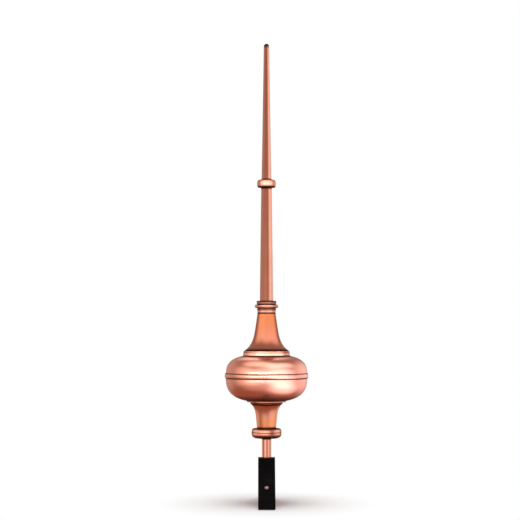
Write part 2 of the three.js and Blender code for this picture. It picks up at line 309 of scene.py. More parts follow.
class Graph:
    """The nodes of one material, light or world."""

    def __init__(self, owner: Any) -> None:
        """Starts an empty node tree.

        Args:
            owner: The material, light or world that the nodes belong to.
        """
        owner.use_nodes = True
        self.owner = owner
        self.tree = owner.node_tree
        self.tree.nodes.clear()

    def node(self, kind: str, settings: dict[str, Any] | None = None, **inputs: Feed) -> bpy.types.Node:
        """Adds a node.

        Args:
            kind: Blender's name for the type of node.
            settings: Its own properties, set before its sockets.
            inputs: Values or links by socket name, with _ for a space, or by place as in0, in1.

        Returns:
            The node.
        """
        made = self.tree.nodes.new(kind)
        for key, setting in (settings or {}).items():
            setattr(made, key, setting)
        self.feed(made, **inputs)
        return made

    def feed(self, node: bpy.types.Node, **inputs: Feed) -> None:
        """Links sockets of a node to others, or sets their values.

        Args:
            node: The node.
            inputs: Values or links, named as in node().
        """
        for key, value in inputs.items():
            place = key.removeprefix("in")
            socket = node.inputs[int(place)] if place.isdigit() else node.inputs[key.replace("_", " ")]
            if isinstance(value, Number):
                value = value.socket
            if isinstance(value, bpy.types.NodeSocket):
                self.tree.links.new(value, socket)
            elif isinstance(value, tuple) and socket.type == "RGBA":
                socket.default_value = (*value, 1.0)
            else:
                socket.default_value = value

    def place(self) -> bpy.types.NodeSocket:
        """The point on the object, in metres in the frame."""
        return self.node("ShaderNodeTexCoord").outputs["Object"]

    def parts(self, where: Feed) -> tuple["Number", ...]:
        """The three parts of a point or a direction."""
        split = self.node("ShaderNodeSeparateXYZ", Vector=where)
        return tuple(Number(self, part) for part in split.outputs)

    def from_axis(self, where: Feed) -> "Number":
        """A point's distance from the Z axis."""
        x, y, _ = self.parts(where)
        return (x * x + y * y).root()

    def noise(self, where: Feed, scale: float, detail: float, roughness: float = 0.5) -> "Number":
        """Soft random cloud from 0 to 1, with scale clouds to a metre and finer layers as detail says."""
        inputs = {"Vector": where, "Scale": scale, "Detail": detail, "Roughness": roughness}
        return Number(self, self.node("ShaderNodeTexNoise", **inputs).outputs["Fac"])

    def blend(self, share: Feed, first: Feed, second: Feed) -> bpy.types.NodeSocket:
        """Colour that goes from first to second as share goes from 0 to 1."""
        return self.node("ShaderNodeMix", {"data_type": "RGBA"}, in0=share, in6=first, in7=second).outputs[2]

    def bump(self, height: Feed, distance: float, **under: Feed) -> bpy.types.NodeSocket:
        """Normal of a surface raised by height times distance, over another given as Normal."""
        return self.node("ShaderNodeBump", Strength=1.0, Distance=distance, Height=height, **under).outputs[0]

    def glow(self, **inputs: Feed) -> bpy.types.NodeSocket:
        """Plain light, with a Color or a Strength."""
        return self.node("ShaderNodeEmission", **inputs).outputs[0]


class Number:
    """A socket that holds one number, with arithmetic that adds Math nodes to its graph."""

    def __init__(self, graph: Graph, socket: bpy.types.NodeSocket) -> None:
        """Wraps a socket of a graph."""
        self.graph = graph
        self.socket = socket

    def _maths(self, operation: str, *terms: Feed, clamp: bool = False) -> "Number":
        """Adds a Math node on the given terms."""
        feeds = {f"in{place}": term for place, term in enumerate(terms)}
        made = self.graph.node("ShaderNodeMath", {"operation": operation, "use_clamp": clamp}, **feeds)
        return Number(self.graph, made.outputs[0])

    def __add__(self, other: Feed) -> "Number":
        """Sum."""
        return self._maths("ADD", self, other)

    __radd__ = __add__

    def __sub__(self, other: Feed) -> "Number":
        """Difference."""
        return self._maths("SUBTRACT", self, other)

    def __rsub__(self, other: Feed) -> "Number":
        """Difference with this number taken away."""
        return self._maths("SUBTRACT", other, self)

    def __mul__(self, other: Feed) -> "Number":
        """Product."""
        return self._maths("MULTIPLY", self, other)

    __rmul__ = __mul__

    def __truediv__(self, other: Feed) -> "Number":
        """Quotient."""
        return self._maths("DIVIDE", self, other)

    def clamped(self) -> "Number":
        """The number held between 0 and 1."""
        return self._maths("ADD", self, 0.0, clamp=True)

    def root(self) -> "Number":
        """Square root."""
        return self._maths("SQRT", self)

    def larger(self, other: Feed) -> "Number":
        """The larger of two numbers."""
        return self._maths("MAXIMUM", self, other)


class Surface(Graph):
    """The nodes of one material, around one Principled shader."""

    def __init__(self, name: str) -> None:
        """Starts an empty material.

        Args:
            name: The material's name.
        """
        super().__init__(bpy.data.materials.new(name))
        self.shader = self.node("ShaderNodeBsdfPrincipled")
        self.output = self.node("ShaderNodeOutputMaterial", Surface=self.shader.outputs["BSDF"])


# Finishes


class Grain(Enum):
    """Which way the polishing marks run on a turned piece."""

    ROUND = "round the axis"
    ALONG = "along the axis"


class Tone(Enum):
    """Tone of the copper, as the colour of clean metal and the colour where it has turned a little."""

    PLAIN = ((0.93, 0.50, 0.38), (0.87, 0.42, 0.30))
    ROSE = ((0.93, 0.49, 0.385), (0.90, 0.43, 0.32))
    AMBER = ((0.93, 0.48, 0.40), (0.94, 0.47, 0.27))


@dataclass(frozen=True)
class Joint:
    """A line round a piece: the middle of a dark band, partly tarnished metal and partly painted shade, and
    also of a heat tint.

    Attributes:
        height: Its height.
        reach: How far above and below it the dark band, and a heat tint, fade out.
    """

    height: float
    reach: float

    def raised(self, foot: float) -> "Joint":
        """The same joint on a piece whose foot stands at a height."""
        return Joint(foot + self.height, self.reach)


@dataclass(frozen=True)
class SatinCopper:
    """Copper polished to a satin sheen and lacquered, darker where two pieces meet, partly tarnished and
    partly with painted shade.

    Attributes:
        grain: Which way the polishing marks run.
        tone: Tone of the copper.
        joints: Dark lines, at their heights in the frame: tarnished seams, with painted shade under overhangs
            and in grooves.
        flush: Where the metal was heated, with the reach of its tint, if it was.
        tarnish: Colour of a dark line, which stands for tarnished metal and for painted shade.
        tarnish_cover: How much of the metal a full joint hides.
        tarnish_least: Strength of a dark line where the small clouds are darkest.
        tarnish_clouds: How much the small clouds add to it.
        heat_tint: Colour of heated metal.
        heat_cover: How much of the tint shows where the metal was hottest.
        roughness: Roughness of the clean metal.
        broad_clouds: Broad clouds to a metre.
        small_clouds: Small clouds to a metre.
        broad_share: Share of the broad clouds in the change of tone.
        tone_middle: Cloud value below which the metal keeps its bright tone.
        tone_contrast: How fast it deepens above that.
        rough_tone: Roughness that the deep tone adds.
        rough_mark: Roughness that a mark adds.
        rough_tarnish: Roughness that a dark line adds.
        marks: Polishing marks to a metre, across the grain.
        marks_along: Marks to a metre along a straight piece.
        marks_round: Marks to a metre round a turned one.
        waves: Slow waves to a metre.
        mark_depth: Depth of a mark.
        wave_depth: Depth of a wave.
    """

    grain: Grain
    tone: Tone
    joints: tuple[Joint, ...]
    flush: Joint | None = None
    tarnish: Colour = (0.06, 0.007, 0.003)
    tarnish_cover: float = 0.96
    tarnish_least: float = 0.8
    tarnish_clouds: float = 0.5
    heat_tint: Colour = (0.96, 0.44, 0.19)
    heat_cover: float = 0.8
    roughness: float = 0.3
    broad_clouds: float = 26.0
    small_clouds: float = 120.0
    broad_share: float = 0.7
    tone_middle: float = 0.38
    tone_contrast: float = 2.6
    rough_tone: float = 0.05
    rough_mark: float = 0.06
    rough_tarnish: float = 0.2
    marks: float = 1900.0
    marks_along: float = 14.0
    marks_round: float = 30.0
    waves: float = 17.0
    mark_depth: float = 0.000001
    wave_depth: float = 0.00006

    def material(self, name: str) -> bpy.types.Material:
        """Builds the material.

        Clouds 4 cm and 8 mm wide shift the colour between the bright and the deep tone, and a heat tint
        and dark bands at the seams are laid over it; the bands are partly tarnished metal and partly painted
        shade and painted dark reflection. Marks 0.5 mm wide run with the grain and change the roughness and
        the slope a little. A slow wave 6 cm long bends the reflections as spun sheet does.

        Args:
            name: The material's name.

        Returns:
            The material.
        """
        graph = Surface(name)
        place = graph.place()
        broad = graph.noise(place, self.broad_clouds, 3.0)
        small = graph.noise(place, self.small_clouds, 2.0)
        cloud = broad * self.broad_share + small * (1.0 - self.broad_share)
        deepened = ((cloud - self.tone_middle) * self.tone_contrast).clamped()
        colour = graph.blend(deepened, *self.tone.value)
        if self.flush is not None:
            heated = self._near(graph, place, self.flush).clamped() * self.heat_cover
            colour = graph.blend(heated, colour, self.heat_tint)
        # Dark bands at the seams: partly tarnished metal, partly painted shade and painted dark reflection
        # where parts overhang and meet.
        tarnish_and_shade_share = self._joint_share(graph, place) * (small * self.tarnish_clouds + self.tarnish_least)
        colour = graph.blend(tarnish_and_shade_share.clamped() * self.tarnish_cover, colour, self.tarnish)
        mark = graph.noise(self._grain_place(graph, place), 1.0, 2.0, 0.6)
        uneven = (deepened - 0.4) * self.rough_tone + (mark - 0.5) * self.rough_mark
        rough = self.roughness + uneven + tarnish_and_shade_share * self.rough_tarnish
        wave = graph.bump(graph.noise(place, self.waves, 1.0), self.wave_depth)
        slope = graph.bump(mark, self.mark_depth, Normal=wave)
        graph.feed(graph.shader, Base_Color=colour, Roughness=rough, Metallic=1.0, Normal=slope)
        return graph.owner

    def _joint_share(self, graph: Graph, place: bpy.types.NodeSocket) -> Number:
        """How dark the lines are, tarnished metal and painted shade together: 1 at a line, fading out to 0 at
        its reach above and below it.
        """
        first, *others = (self._near(graph, place, joint) for joint in self.joints)
        share = first.larger(0.0)
        for other in others:
            share = share.larger(other)
        return share

    def _near(self, graph: Graph, place: bpy.types.NodeSocket, joint: Joint) -> Number:
        """Nearness to a joint, 1 - (distance / reach)^2, which is negative beyond its reach."""
        away = (graph.parts(place)[2] - joint.height) / joint.reach
        return 1.0 - away * away

    def _grain_place(self, graph: Graph, place: bpy.types.NodeSocket) -> bpy.types.NodeSocket:
        """The point that the marks are read at: fine across the grain and long with it."""
        x, y, z = graph.parts(place)
        if self.grain is Grain.ALONG:
            feeds = {"X": x * self.marks, "Y": y * self.marks, "Z": z * self.marks_along}
        else:
            radius = graph.from_axis(place)
            feeds = {"X": radius * self.marks, "Y": z * self.marks, "Z": x * self.marks_round}
        return graph.node("ShaderNodeCombineXYZ", **feeds).outputs[0]


@dataclass(frozen=True)
class BlackPaint:
    """Satin black paint with a fine orange-peel skin.

    Attributes:
        colour: Colour of the paint.
        worn: Colour where dust has dulled it.
        roughness: Roughness of clean paint.
        dust_contrast: How sharply the dust's clouds end.
        dust_roughness: Roughness that the dust adds.
        sheen: Strength of its mirror, as the shader's specular level.
        clouds: Clouds of dust to a metre.
        peel: Bumps of the skin to a metre.
        peel_depth: Their depth.
    """

    colour: Colour = (0.003, 0.0062, 0.0078)
    worn: Colour = (0.012, 0.02, 0.023)
    roughness: float = 0.42
    dust_contrast: float = 3.0
    dust_roughness: float = 0.18
    sheen: float = 0.12
    clouds: float = 34.0
    peel: float = 1400.0
    peel_depth: float = 0.00004

    def material(self, name: str) -> bpy.types.Material:
        """Builds the material.

        Clouds 3 cm wide lay a thin dust over the paint, and bumps 0.7 mm wide give its skin.

        Args:
            name: The material's name.

        Returns:
            The material.
        """
        graph = Surface(name)
        place = graph.place()
        dust = ((graph.noise(place, self.clouds, 5.0, 0.6) - 0.5) * self.dust_contrast).clamped()
        colour = graph.blend(dust, self.colour, self.worn)
        skin = graph.bump(graph.noise(place, self.peel, 1.0), self.peel_depth)
        rough = self.roughness + dust * self.dust_roughness
        graph.feed(graph.shader, Base_Color=colour, Roughness=rough, Normal=skin)
        graph.feed(graph.shader, Specular_IOR_Level=self.sheen)
        return graph.owner


@dataclass(frozen=True)
class ZincPlate:
    """Bright zinc plate on a screw.

    Attributes:
        colour: Colour of the plate.
        dull: Colour where it has dulled.
        roughness: Roughness of the plate on the whole.
        roughness_swing: How much the clouds change it.
        clouds: Clouds to a metre.
        cloud_depth: Depth of the clouds' slopes.
    """

    colour: Colour = (0.72, 0.73, 0.75)
    dull: Colour = (0.5, 0.5, 0.49)
    roughness: float = 0.3
    roughness_swing: float = 0.3
    clouds: float = 700.0
    cloud_depth: float = 0.00003

    def material(self, name: str) -> bpy.types.Material:
        """Builds the material, with dull clouds about 1.5 mm wide.

        Args:
            name: The material's name.

        Returns:
            The material.
        """
        graph = Surface(name)
        spots = graph.noise(graph.place(), self.clouds, 3.0)
        colour = graph.blend(spots, self.colour, self.dull)
        rough = self.roughness + (spots - 0.5) * self.roughness_swing
        slope = graph.bump(spots, self.cloud_depth)
        graph.feed(graph.shader, Base_Color=colour, Roughness=rough, Metallic=1.0, Normal=slope)
        return graph.owner


class Slot(Enum):
    """The record's material slots."""

    COPPER = "copper"
    BLACK_STEEL = "black_steel"
    ZINC_STEEL = "zinc_steel"


def dress(piece: bpy.types.Object, node: str, finish: Any) -> None:
    """Gives a piece its finish and lets it stand for its node.

    Args:
        piece: The finished mesh.
        node: The node of the frame that it replaces.
        finish: An object with a material method.
    """
    piece.data.materials.clear()
    piece.data.materials.append(finish.material(f"{piece.name}_finish"))
    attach(piece, BODY)
    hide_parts(node)
    log.info("%s stands for %s, with %d faces", piece.name, node, len(piece.data.polygons))


def copper_piece(
    node: str,
    outline: Outline,
    *creases: Joint,
    foot: float,
    head: float,
    grain: Grain = Grain.ROUND,
    tone: Tone = Tone.PLAIN,
    flush: Joint | None = None,
) -> None:
    """Turns one copper piece and dresses it.

    Args:
        node: The node of the frame that it replaces.
        outline: Pairs of radius and height above the node's foot.
        creases: Dark lines between its ends, at their heights above its foot: tarnished seams and painted
            shade.
        foot: How far the dark band at its foot reaches up, partly tarnished metal and partly painted shade.
        head: How far the dark band at its head reaches down, partly tarnished metal and partly painted shade.
        grain: Which way its polishing marks run.
        tone: Tone of its copper.
        flush: Where it was heated, at its height above the foot, if it was.
    """
    span = Span.of(node)
    seats = outline[[0, -1]] * np.array([SEAT_SHARE, 1.0])
    points, faces = turned(softened(joined(seats[0], outline, seats[1])), span.foot)
    joints = (Joint(0.0, foot), Joint(span.height, head), *creases)
    piece = new_mesh(f"{node}_polished", points, faces)
    heated = flush and flush.raised(span.foot)
    finish = SatinCopper(grain, tone, tuple(joint.raised(span.foot) for joint in joints), heated)
    dress(piece, node, finish)


# The finial, from the saddle up


@dataclass
class Foot:
    """The bare rod, the round foot bead on it, and the cup that carries the ball.

    Attributes:
        shoulder: Reach and height of the bead's round shoulder.
        under: Reach and height of the bead's round underside.
        bead_line: Height above the bead's foot of the line round its middle.
        line_width: Height of that line.
        line_depth: Depth of that line.
        cup_neck: Radius of the cup at its foot.
        cup_taper: Even widening of the cup's wall.
        cup_sharpness: Power of the widening that gathers under its band.
        band_proud: How far the band stands out from the top of the wall.
        band_height: Height of the band under the lip.
        lip_overhang: How far the lip stands out from the band.
        lip_thickness: Thickness of the lip.
    """

    shoulder: tuple[float, float] = (0.004, 0.009)
    under: tuple[float, float] = (0.013, 0.010)
    bead_line: float = 0.0142
    line_width: float = 0.0012
    line_depth: float = 0.0006
    cup_neck: float = 0.0225
    cup_taper: float = 0.0053
    cup_sharpness: float = 6.5
    band_proud: float = 0.001
    band_height: float = 0.0048
    lip_overhang: float = 0.0085
    lip_thickness: float = 0.0025

    def rod(self) -> Outline:
        """A plain round bar."""
        span = Span.of("mounting_rod")
        return joined([[span.radius, 0.0], [span.radius, span.height]])

    def bead(self) -> Outline:
        """A flat top, a round shoulder, a straight side with a line round it, and a long round underside."""
        span = Span.of("foot_bead")
        inner, top = span.radius - self.shoulder[0], span.height - self.shoulder[1]
        return joined(
            arc((span.radius - self.under[0], self.under[1]), self.under, -90.0, 0.0),
            groove(span.radius, self.bead_line, self.line_width, self.line_depth),
            arc((inner, top), self.shoulder, 0.0, 90.0),
        )

    def cup(self) -> Outline:
        """A wall that flares out under a band, and a thin lip that overhangs the band."""
        span = Span.of("cup")
        band = span.radius - self.lip_overhang
        band_top = span.height - self.lip_thickness
        wall_height = band_top - self.band_height
        width = band - self.band_proud - self.cup_neck - self.cup_taper
        return joined(
            flare(self.cup_neck, self.cup_taper, width, self.cup_sharpness, wall_height),
            [[band, wall_height], [band, band_top], [span.radius, band_top], [span.radius, span.height]],
        )

    def build(self) -> None:
        """Makes the three pieces."""
        copper_piece("mounting_rod", self.rod(), foot=0.002, head=0.004, grain=Grain.ALONG)
        line = Joint(self.bead_line, reach=0.0011)
        # Painted shade darkens the bead's round underside for 9.5 mm above its foot.
        copper_piece("foot_bead", self.bead(), line, foot=0.0095, head=0.0016)
        band_top = Span.of("cup").height - self.lip_thickness
        # Painted shade darkens the cup under its band and its lip, over its tarnished seams.
        under_band = Joint(band_top - self.band_height, reach=0.0045)
        under_lip = Joint(band_top - self.band_height / 4, reach=0.0024)
        heated = Joint(height=0.004, reach=0.03)
        dark = (under_band, under_lip)
        copper_piece("cup", self.cup(), *dark, foot=0.0058, head=0.0006, tone=Tone.AMBER, flush=heated)


@dataclass
class Ball:
    """The flattened ball: two spun bowls, with a lap band round the upper bowl's rim.

    Attributes:
        lower_rise: Height of the lower bowl's full curve below the equator.
        upper_rise: Height of the upper bowl's full curve above the equator.
        lower_squareness: Power of the lower bowl's rounded-square section.
        upper_squareness: Power of the upper bowl's.
        seat_inset: How far a seat stays inside what stands on it.
        lap_below: How far the lap band reaches below the equator.
        lap_height: Height of the lap band.
        lap_edge: How far the band's edges stand out from the bowls.
        lap_swell: How much further its middle stands out.
    """

    lower_rise: float = 0.0604
    upper_rise: float = 0.0522
    lower_squareness: float = 2.82
    upper_squareness: float = 3.15
    seat_inset: float = 0.0015
    lap_below: float = 0.0035
    lap_height: float = 0.011
    lap_edge: float = 0.0014
    lap_swell: float = 0.001

    def lower(self) -> Outline:
        """The lower bowl, from its seat on the cup up to its rim."""
        radius = Span.of("ball_lower_half").radius
        seat = Span.of("cup").radius - self.seat_inset
        section = bowl(radius, self.lower_rise, self.lower_squareness, self.lap_below, seat)
        section[:, 1] = section[-1, 1] - section[:, 1]
        return section[::-1]

    def upper(self) -> Outline:
        """The lap band, which swells a little between its edges, and the upper bowl up to its seat."""
        radius = Span.of("ball_lower_half").radius
        seat = Span.of("bell_ring").radius - self.seat_inset
        share = spaced(-1.0, 1.0, CURVE_POINTS // 2)
        proud = self.lap_edge + self.lap_swell * (1.0 - share**2)
        band = np.column_stack([radius + proud, self.lap_height * (1.0 + share) / 2.0])
        above = self.lap_height - self.lap_below
        section = bowl(radius, self.upper_rise, self.upper_squareness, above, seat)
        section[:, 1] += self.lap_below
        return joined(band, section)

    def build(self) -> None:
        """Makes the two bowls."""
        lap = Joint(self.lap_height, reach=0.0016)
        # Painted shade and a painted dark reflection of the cup darken the lower bowl for 16 mm above its
        # foot.
        copper_piece("ball_lower_half", self.lower(), foot=0.0158, head=0.0026, tone=Tone.ROSE)
        # Painted shadow darkens the upper bowl under the ring and along the lap band's lower edge, over its
        # tarnished seams.
        copper_piece("ball_upper_half", self.upper(), lap, foot=0.0022, head=0.0035, tone=Tone.ROSE)


@dataclass
class Bell:
    """The flared bell on its ring.

    Attributes:
        ring_taper: How much narrower the ring's band is at its top than at its foot.
        fillet_height: Height of the fillet along the ring's top.
        fillet_setback: How far the fillet is set back.
        line_depth: Depth of the line between band and fillet.
        line_width: Height of that line.
        neck: Radius of the bell at its top.
        taper: Even widening of the bell.
        sharpness: Power of the widening that gathers at the mouth.
        heated_share: Share of its height that took a tint when its neck was heated.
    """

    ring_taper: float = 0.0008
    fillet_height: float = 0.0036
    fillet_setback: float = 0.0006
    line_depth: float = 0.0005
    line_width: float = 0.001
    neck: float = 0.0215
    taper: float = 0.013
    sharpness: float = 6.0
    heated_share: float = 0.58

    def ring(self) -> Outline:
        """A band that narrows upwards, a line, and a fillet set back above it."""
        span = Span.of("bell_ring")
        line = span.height - self.fillet_height
        band = span.radius - self.ring_taper
        head = band - self.fillet_setback
        return joined(
            [[span.radius, 0.0], [band, line - self.line_width / 2]],
            [[head - self.line_depth, line], [head, line + self.line_width / 2], [head, span.height]],
        )

    def bell(self) -> Outline:
        """The trumpet wall, from its mouth up."""
        span = Span.of("bell")
        wall = flare(self.neck, self.taper, span.radius - self.neck - self.taper, self.sharpness, span.height)
        wall[:, 1] = span.height - wall[:, 1]
        return wall[::-1]

    def build(self) -> None:
        """Makes the ring and the bell."""
        line = Joint(Span.of("bell_ring").height - self.fillet_height, reach=0.0012)
        # The ring's line and foot are tarnished seams with a little painted shade.
        copper_piece("bell_ring", self.ring(), line, foot=0.0019, head=0.0012)
        height = Span.of("bell").height
        heated = Joint(height, self.heated_share * height)
        # Painted shade darkens the bell for 7.5 mm above its mouth, where it meets the ring.
        copper_piece("bell", self.bell(), foot=0.0075, head=0.002, tone=Tone.AMBER, flush=heated)


@dataclass
class Spire:
    """The turned neck moulding, the shaft, its collar and the point.

    Attributes:
        bell_neck: Radius of the bell's neck, which the moulding caps.
        fillet_height: Height of the lowest fillet.
        fillet_proud: How far it stands out from the bell's neck.
        band_height: Height of the fillet above it.
        band_proud: How far that one stands out.
        quirk: Height of the cut on each side of the bead.
        bead_height: Height of the bead.
        bead_reach: How far the bead's round part reaches out.
        flange_height: Height of the flange on top.
        flange_proud: How far the flange stands out from the cut below it.
        chamfer: Width of the moulding's two end chamfers.
        shaft_head: Radius of the shaft under its collar.
        collar_setback: How far the collar's edges lie inside its middle.
        collar_dome: Height of the collar's low dome.
        dome_margin: Width of the dome's flat around the point.
        point_foot: Radius of the point above the collar.
        tip: Radius of the point's round tip.
        tip_end: Where the tip's outline ends short of the axis, in degrees above the horizon.
    """

    bell_neck: float = 0.0215
    fillet_height: float = 0.008
    fillet_proud: float = 0.0004
    band_height: float = 0.0033
    band_proud: float = 0.0012
    quirk: float = 0.0013
    bead_height: float = 0.0082
    bead_reach: float = 0.0035
    flange_height: float = 0.0074
    flange_proud: float = 0.0019
    chamfer: float = 0.0008
    shaft_head: float = 0.0127
    collar_setback: float = 0.0014
    collar_dome: float = 0.0023
    dome_margin: float = 0.001
    point_foot: float = 0.0117
    tip: float = 0.0064
    tip_end: float = 88.0

    def moulding(self) -> Outline:
        """Two fillets, a round bead between two cuts, and a flange."""
        span = Span.of("neck_moulding")
        fillet, band = self.bell_neck + self.fillet_proud, self.bell_neck + self.band_proud
        flange = self.bell_neck + self.flange_proud
        band_top = self.fillet_height + self.band_height
        bead_foot = band_top + self.quirk
        flange_foot = span.height - self.flange_height
        middle = (span.radius - self.bead_reach, bead_foot + self.bead_height / 2)
        return joined(
            [[fillet - self.chamfer, 0.0], [fillet, self.chamfer], [fillet, self.fillet_height]],
            [[band, self.fillet_height], [band, band_top], [self.bell_neck, bead_foot]],
            arc(middle, (self.bead_reach, self.bead_height / 2), -90.0, 90.0),
            [[self.bell_neck, flange_foot - self.quirk], [flange, flange_foot]],
            [[flange, span.height - self.chamfer], [flange - self.chamfer, span.height]],
        )

    def shaft(self) -> Outline:
        """A tube that narrows upwards."""
        span = Span.of("spire_shaft")
        return joined([[span.radius, 0.0], [self.shaft_head, span.height]])

    def collar(self) -> Outline:
        """A barrel side under a low dome."""
        span = Span.of("spire_collar")
        share = spaced(-1.0, 1.0, CURVE_POINTS // 2)
        radii = span.radius - self.collar_setback * share**2
        side = np.column_stack([radii, (span.height - self.collar_dome) * (1.0 + share) / 2.0])
        return joined(side, [[self.point_foot + self.dome_margin, span.height]])

    def point(self) -> Outline:
        """A tube that narrows up to a round tip."""
        span = Span.of("spire_point")
        round_tip = arc((0.0, span.height - self.tip), (self.tip, self.tip), 0.0, self.tip_end)
        return joined([[self.point_foot, 0.0]], round_tip)

    def build(self) -> None:
        """Makes the four pieces."""
        band_top = self.fillet_height + self.band_height
        fillet = Joint(self.fillet_height, reach=0.0018)
        lower_cut = Joint(band_top, reach=0.0022)
        upper_cut = Joint(band_top + 1.5 * self.quirk + self.bead_height, reach=0.0032)
        # Painted shade darkens the moulding's cuts, its fillet line and its ends, over its tarnished seams.
        copper_piece("neck_moulding", self.moulding(), fillet, lower_cut, upper_cut, foot=0.003, head=0.0064)
        # Painted shade darkens the shaft under the collar.
        copper_piece("spire_shaft", self.shaft(), foot=0.001, head=0.006, grain=Grain.ALONG)
        edge = Joint(Span.of("spire_collar").height - self.collar_dome, reach=0.001)
        # Painted shade darkens the collar under its dome's edge and at its foot.
        copper_piece("spire_collar", self.collar(), edge, foot=0.0034, head=0.002)
        # The point also darkens over its top 12 mm.
        copper_piece("spire_point", self.point(), foot=0.002, head=0.012, grain=Grain.ALONG)


# The saddle and its screws


@dataclass
class Saddle:
    """The flat strap bent over the ridge.

    Attributes:
        thickness: Thickness of the strap.
        crown_margin: How far the flat crown reaches past the rod on each side of the ridge.
        bend: Radius of the bend along the strap's underside.
        pitch: Slope of the legs, in degrees.
        leg: Length of a leg.
        corner: Radius of a leg's corners.
        edge: Radius of the rolled edges.
        hole_from_end: Distance of a screw hole from the leg's end.
        hole: Radius of a screw hole.
        least_edge: Radius that the rolled edge keeps at a leg's end.
        gap: How far the sections stay from the crown's middle and its ends.
        corner_start: Angle at which the sections of a leg's corners start, in radians.
        clear: Factor that keeps one run of sections clear of the run before it.
        edge_points: Points round a quarter of the rolled edge.
        bend_points: Sections over the bend.
        leg_points: Sections down a leg.
    """

    thickness: float = 0.004
    crown_margin: float = 0.0049
    bend: float = 0.006
    pitch: float = 45.0
    leg: float = 0.1445
    corner: float = 0.003
    edge: float = 0.0007
    hole_from_end: float = 0.060
    hole: float = 0.0033
    least_edge: float = 0.00002
    gap: float = 0.0005
    corner_start: float = 0.35
    clear: float = 1.1
    edge_points: int = 6
    bend_points: int = 16
    leg_points: int = 40

    @property
    def crown(self) -> float:
        """Half length of the flat crown."""
        return Span.of("mounting_rod").radius + self.crown_margin

    @property
    def slope(self) -> float:
        """Slope of the legs, in radians."""
        return math.radians(self.pitch)

    @property
    def outer(self) -> float:
        """Radius of the bend along the strap's outer face."""
        return self.bend + self.thickness

    @property
    def leg_start(self) -> float:
        """Distance along the strap at which a leg starts."""
        return self.crown + self.outer * self.slope

    def bent(self, along: np.ndarray, across: np.ndarray, above: np.ndarray) -> np.ndarray:
        """Bends points of a flat strap over the ridge.

        Along counts from the middle of the crown. It is the plain distance on the crown, then runs over
        the bend as the bend's angle times its outer radius, and then counts down the leg. On the bend
        a point stands (bend + above) from the bend's centre.

        Args:
            along: Distance along the strap; its sign tells the side of the ridge.
            across: Distance along the ridge.
            above: Height over the strap's underside.

        Returns:
            The points, as the last axis.
        """
        distance = np.abs(along)
        angle = np.clip((distance - self.crown) / self.outer, 0.0, self.slope)
        down = np.maximum(distance - self.leg_start, 0.0)
        out = np.minimum(distance, self.crown)
        out = out + (self.bend + above) * np.sin(angle) + down * math.cos(self.slope)
        up = (self.bend + above) * np.cos(angle) - self.bend - down * math.sin(self.slope)
        return np.stack([across, np.sign(along) * out, up], axis=-1)

    def stations(self) -> tuple[np.ndarray, np.ndarray]:
        """Where the strap's sections stand, and how far each is drawn in at a leg's end.

        The last sections follow the rolled end edge, with the distance from the end at
        edge (1 - cos t) and the draw-in at edge (1 - sin t) for t from 0 to 90 degrees.

        Returns:
            Distances from the middle of the crown, and draw-ins of the edge.
        """
        t = spaced(0.0, math.pi / 2, self.edge_points)
        end = self.edge * (1.0 - np.cos(t))
        drawn = self.edge * (1.0 - np.sin(t))
        corner = self.corner * (1.0 - np.cos(spaced(self.corner_start, math.pi / 2, 2 * self.edge_points)))
        corner = corner[corner > self.clear * self.edge]
        leg = spaced(self.clear * self.corner, self.leg - 2 * self.gap, self.leg_points)
        from_end = np.concatenate([end, corner, leg])
        crown = spaced(self.gap, self.crown - self.gap, self.bend_points // 2)
        bend = spaced(self.crown, self.leg_start, self.bend_points)
        far = np.concatenate([crown, bend, self.leg_start + self.leg - from_end[::-1]])
        drawn = np.concatenate([np.zeros(len(far) - len(end)), drawn[::-1]])
        return np.concatenate([-far[::-1], far]), np.concatenate([drawn[::-1], drawn])

    def strap(self) -> Skin:
        """The strap without its holes.

        Each section is a flat rectangle with round edges, the centre of an edge's arc lying edge inside
        the sides. Within the corner's radius c of a leg's end at distance d, the half width is drawn in
        by c - sqrt(c^2 - (c - d)^2).

        Returns:
            The points and the faces.
        """
        along, drawn = self.stations()
        from_end = np.max(np.abs(along)) - np.abs(along)
        inside = np.clip(self.corner - from_end, 0.0, self.corner)
        cut = self.corner - np.sqrt(self.corner**2 - inside**2)
        half = (Span.of("roof_saddle").radius - cut - drawn)[:, None]
        thick = (self.thickness / 2 - drawn)[:, None]
        edge = np.maximum(self.edge - drawn, self.least_edge)[:, None]
        start = math.pi / 2 * np.arange(4)[:, None]
        angle = (start + spaced(0.0, math.pi / 2, self.edge_points)).reshape(1, -1)
        middle = np.repeat(start + math.pi / 4, self.edge_points)
        side, level = np.sign(np.cos(middle)), np.sign(np.sin(middle))
        across = side * (half - edge) + edge * np.cos(angle)
        above = self.thickness / 2 + level * (thick - edge) + edge * np.sin(angle)
        lengthwise = np.broadcast_to(along[:, None], across.shape)
        skin = self.bent(lengthwise, across, above).reshape(-1, 3)
        rows, columns = across.shape
        ends = self.bent(along[[0, -1]], np.zeros(2), np.full(2, self.thickness / 2))
        faces = grid_faces(rows, columns)[:, ::-1].tolist()
        faces += fan_faces(len(skin), 0, columns, upward=True).tolist()
        faces += fan_faces(len(skin) + 1, (rows - 1) * columns, columns, upward=False).tolist()
        return np.vstack([skin, ends]), faces

    def screw_place(self, side: int) -> tuple[np.ndarray, np.ndarray]:
        """Frame of the screw on one leg.

        Args:
            side: -1 for the front leg and 1 for the back one.

        Returns:
            The middle of the hole on the strap's outer face, and rows along X, down the leg and out of it.
        """
        distance = side * (self.leg_start + self.leg - self.hole_from_end)
        middle = self.bent(np.array(distance), np.array(0.0), np.array(self.thickness))
        down = np.array([0.0, side * math.cos(self.slope), -math.sin(self.slope)])
        out = np.array([0.0, side * math.sin(self.slope), math.cos(self.slope)])
        return middle, np.stack([np.cross(down, out), down, out])

